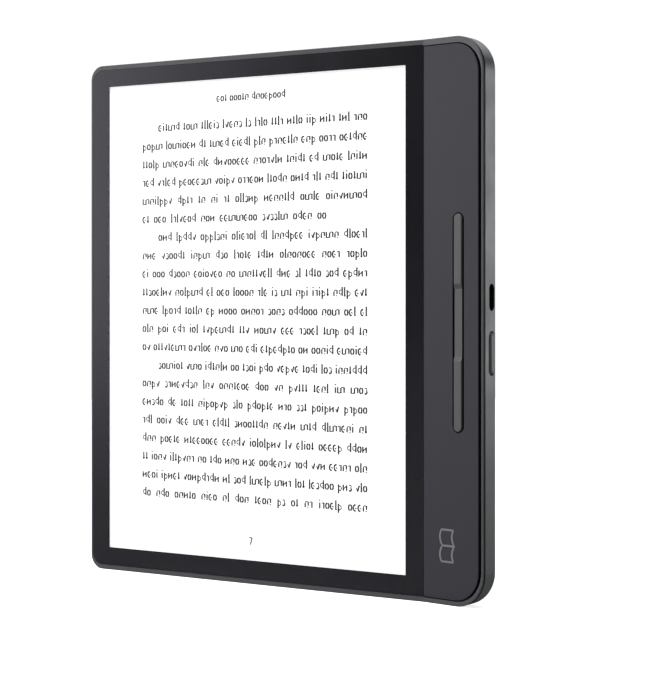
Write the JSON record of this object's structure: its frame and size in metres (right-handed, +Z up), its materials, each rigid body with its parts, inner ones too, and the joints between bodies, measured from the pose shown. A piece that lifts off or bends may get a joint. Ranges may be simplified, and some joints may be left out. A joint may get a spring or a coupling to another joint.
{
  "type": "e-reader",
  "caption": "Handheld e-reader: flat screen under a flush lens, raised side grip with a rocking page-turn strip, side power button and charging port.",
  "frame": {"origin": "middle of the bottom edge of the upright reader, halfway through its thickest part", "axes": "+Z up the height of the screen, +X towards the grip on the reader's right, the screen looks along -Y"},
  "size_m": [0.1605, 0.0085, 0.1777],
  "materials": {
    "cover_plastic": "soft-touch satin, dark grey",
    "frame_plastic": "satin moulded plastic",
    "grip_plastic": "fine matt moulded plastic",
    "strip_plastic": "satin moulded plastic",
    "key_plastic": "satin moulded plastic",
    "lens_clear": "clear, polished",
    "clear_sheet": "clear",
    "mask_black": "black ink behind the lens",
    "page_white": "paper-like white",
    "soft_seal": "black elastomer",
    "bond_tape": "black double-sided tape",
    "flex_amber": "amber polyimide",
    "flex_white": "white flexible strip",
    "led_white": "white package",
    "chassis_metal": "stamped sheet",
    "screw_steel": "plain steel",
    "can_steel": "tin-plated steel",
    "cell_foil": "matt laminated foil",
    "lead_black": "black insulation",
    "connector_white": "cream moulding",
    "board_green": "green solder mask",
    "chip_black": "black moulding",
    "switch_black": "black moulding",
    "gilt": "gold flash"
  },
  "bodies": {
    "reader": {"back_cover": "cover_plastic", "front_frame": "frame_plastic", "perimeter_gasket": "soft_seal", "screen_lens": "lens_clear", "lens_mask": "mask_black", "lens_adhesive": "bond_tape", "touch_sensor": "clear_sheet", "touch_flex": "flex_amber", "light_guide": "clear_sheet", "led_strip": "flex_white", "front_leds": "led_white", "frontlight_flex": "flex_amber", "display_panel": "page_white", "display_adhesive": "bond_tape", "display_flex": "flex_amber", "chassis_plate": "chassis_metal", "chassis_screws": "screw_steel", "battery": "cell_foil", "battery_tape": "bond_tape", "battery_lead": "lead_black", "battery_connector": "connector_white", "main_board": "board_green", "board_screws": "screw_steel", "shield_can": "can_steel", "processor": "chip_black", "memory_chip": "chip_black", "storage_chip": "chip_black", "power_chip": "chip_black", "wifi_module": "can_steel", "wifi_antenna": "flex_amber", "antenna_cable": "lead_black", "display_connector": "connector_white", "touch_connector": "connector_white", "frontlight_connector": "connector_white", "usb_shell": "can_steel", "usb_tongue": "chip_black", "usb_contacts": "gilt", "usb_seal": "soft_seal", "power_switch": "switch_black", "page_switch_lower": "switch_black", "page_switch_upper": "switch_black", "grip_panel": "grip_plastic", "grip_tape": "bond_tape", "rocker_pin": "screw_steel"},
    "page_rocker": {"page_rocker": "strip_plastic"},
    "power_button": {"power_button": "key_plastic"}
  },
  "joints": [
    {"name": "page_rock", "type": "hinge", "parent": "reader", "child": "page_rocker", "pos_m": [0.07055, -0.00079, 0.0884], "axis": [0.9869, -0.1613, 0], "range_deg": [-0.6, 0.6], "stiffness_Nm_per_rad": 3},
    {"name": "power_press", "type": "slide", "parent": "reader", "child": "power_button", "axis": [-1, 0, 0], "range_m": [0, 0.0003], "stiffness_N_per_m": 4000, "springref_m": -0.0001}
  ]
}
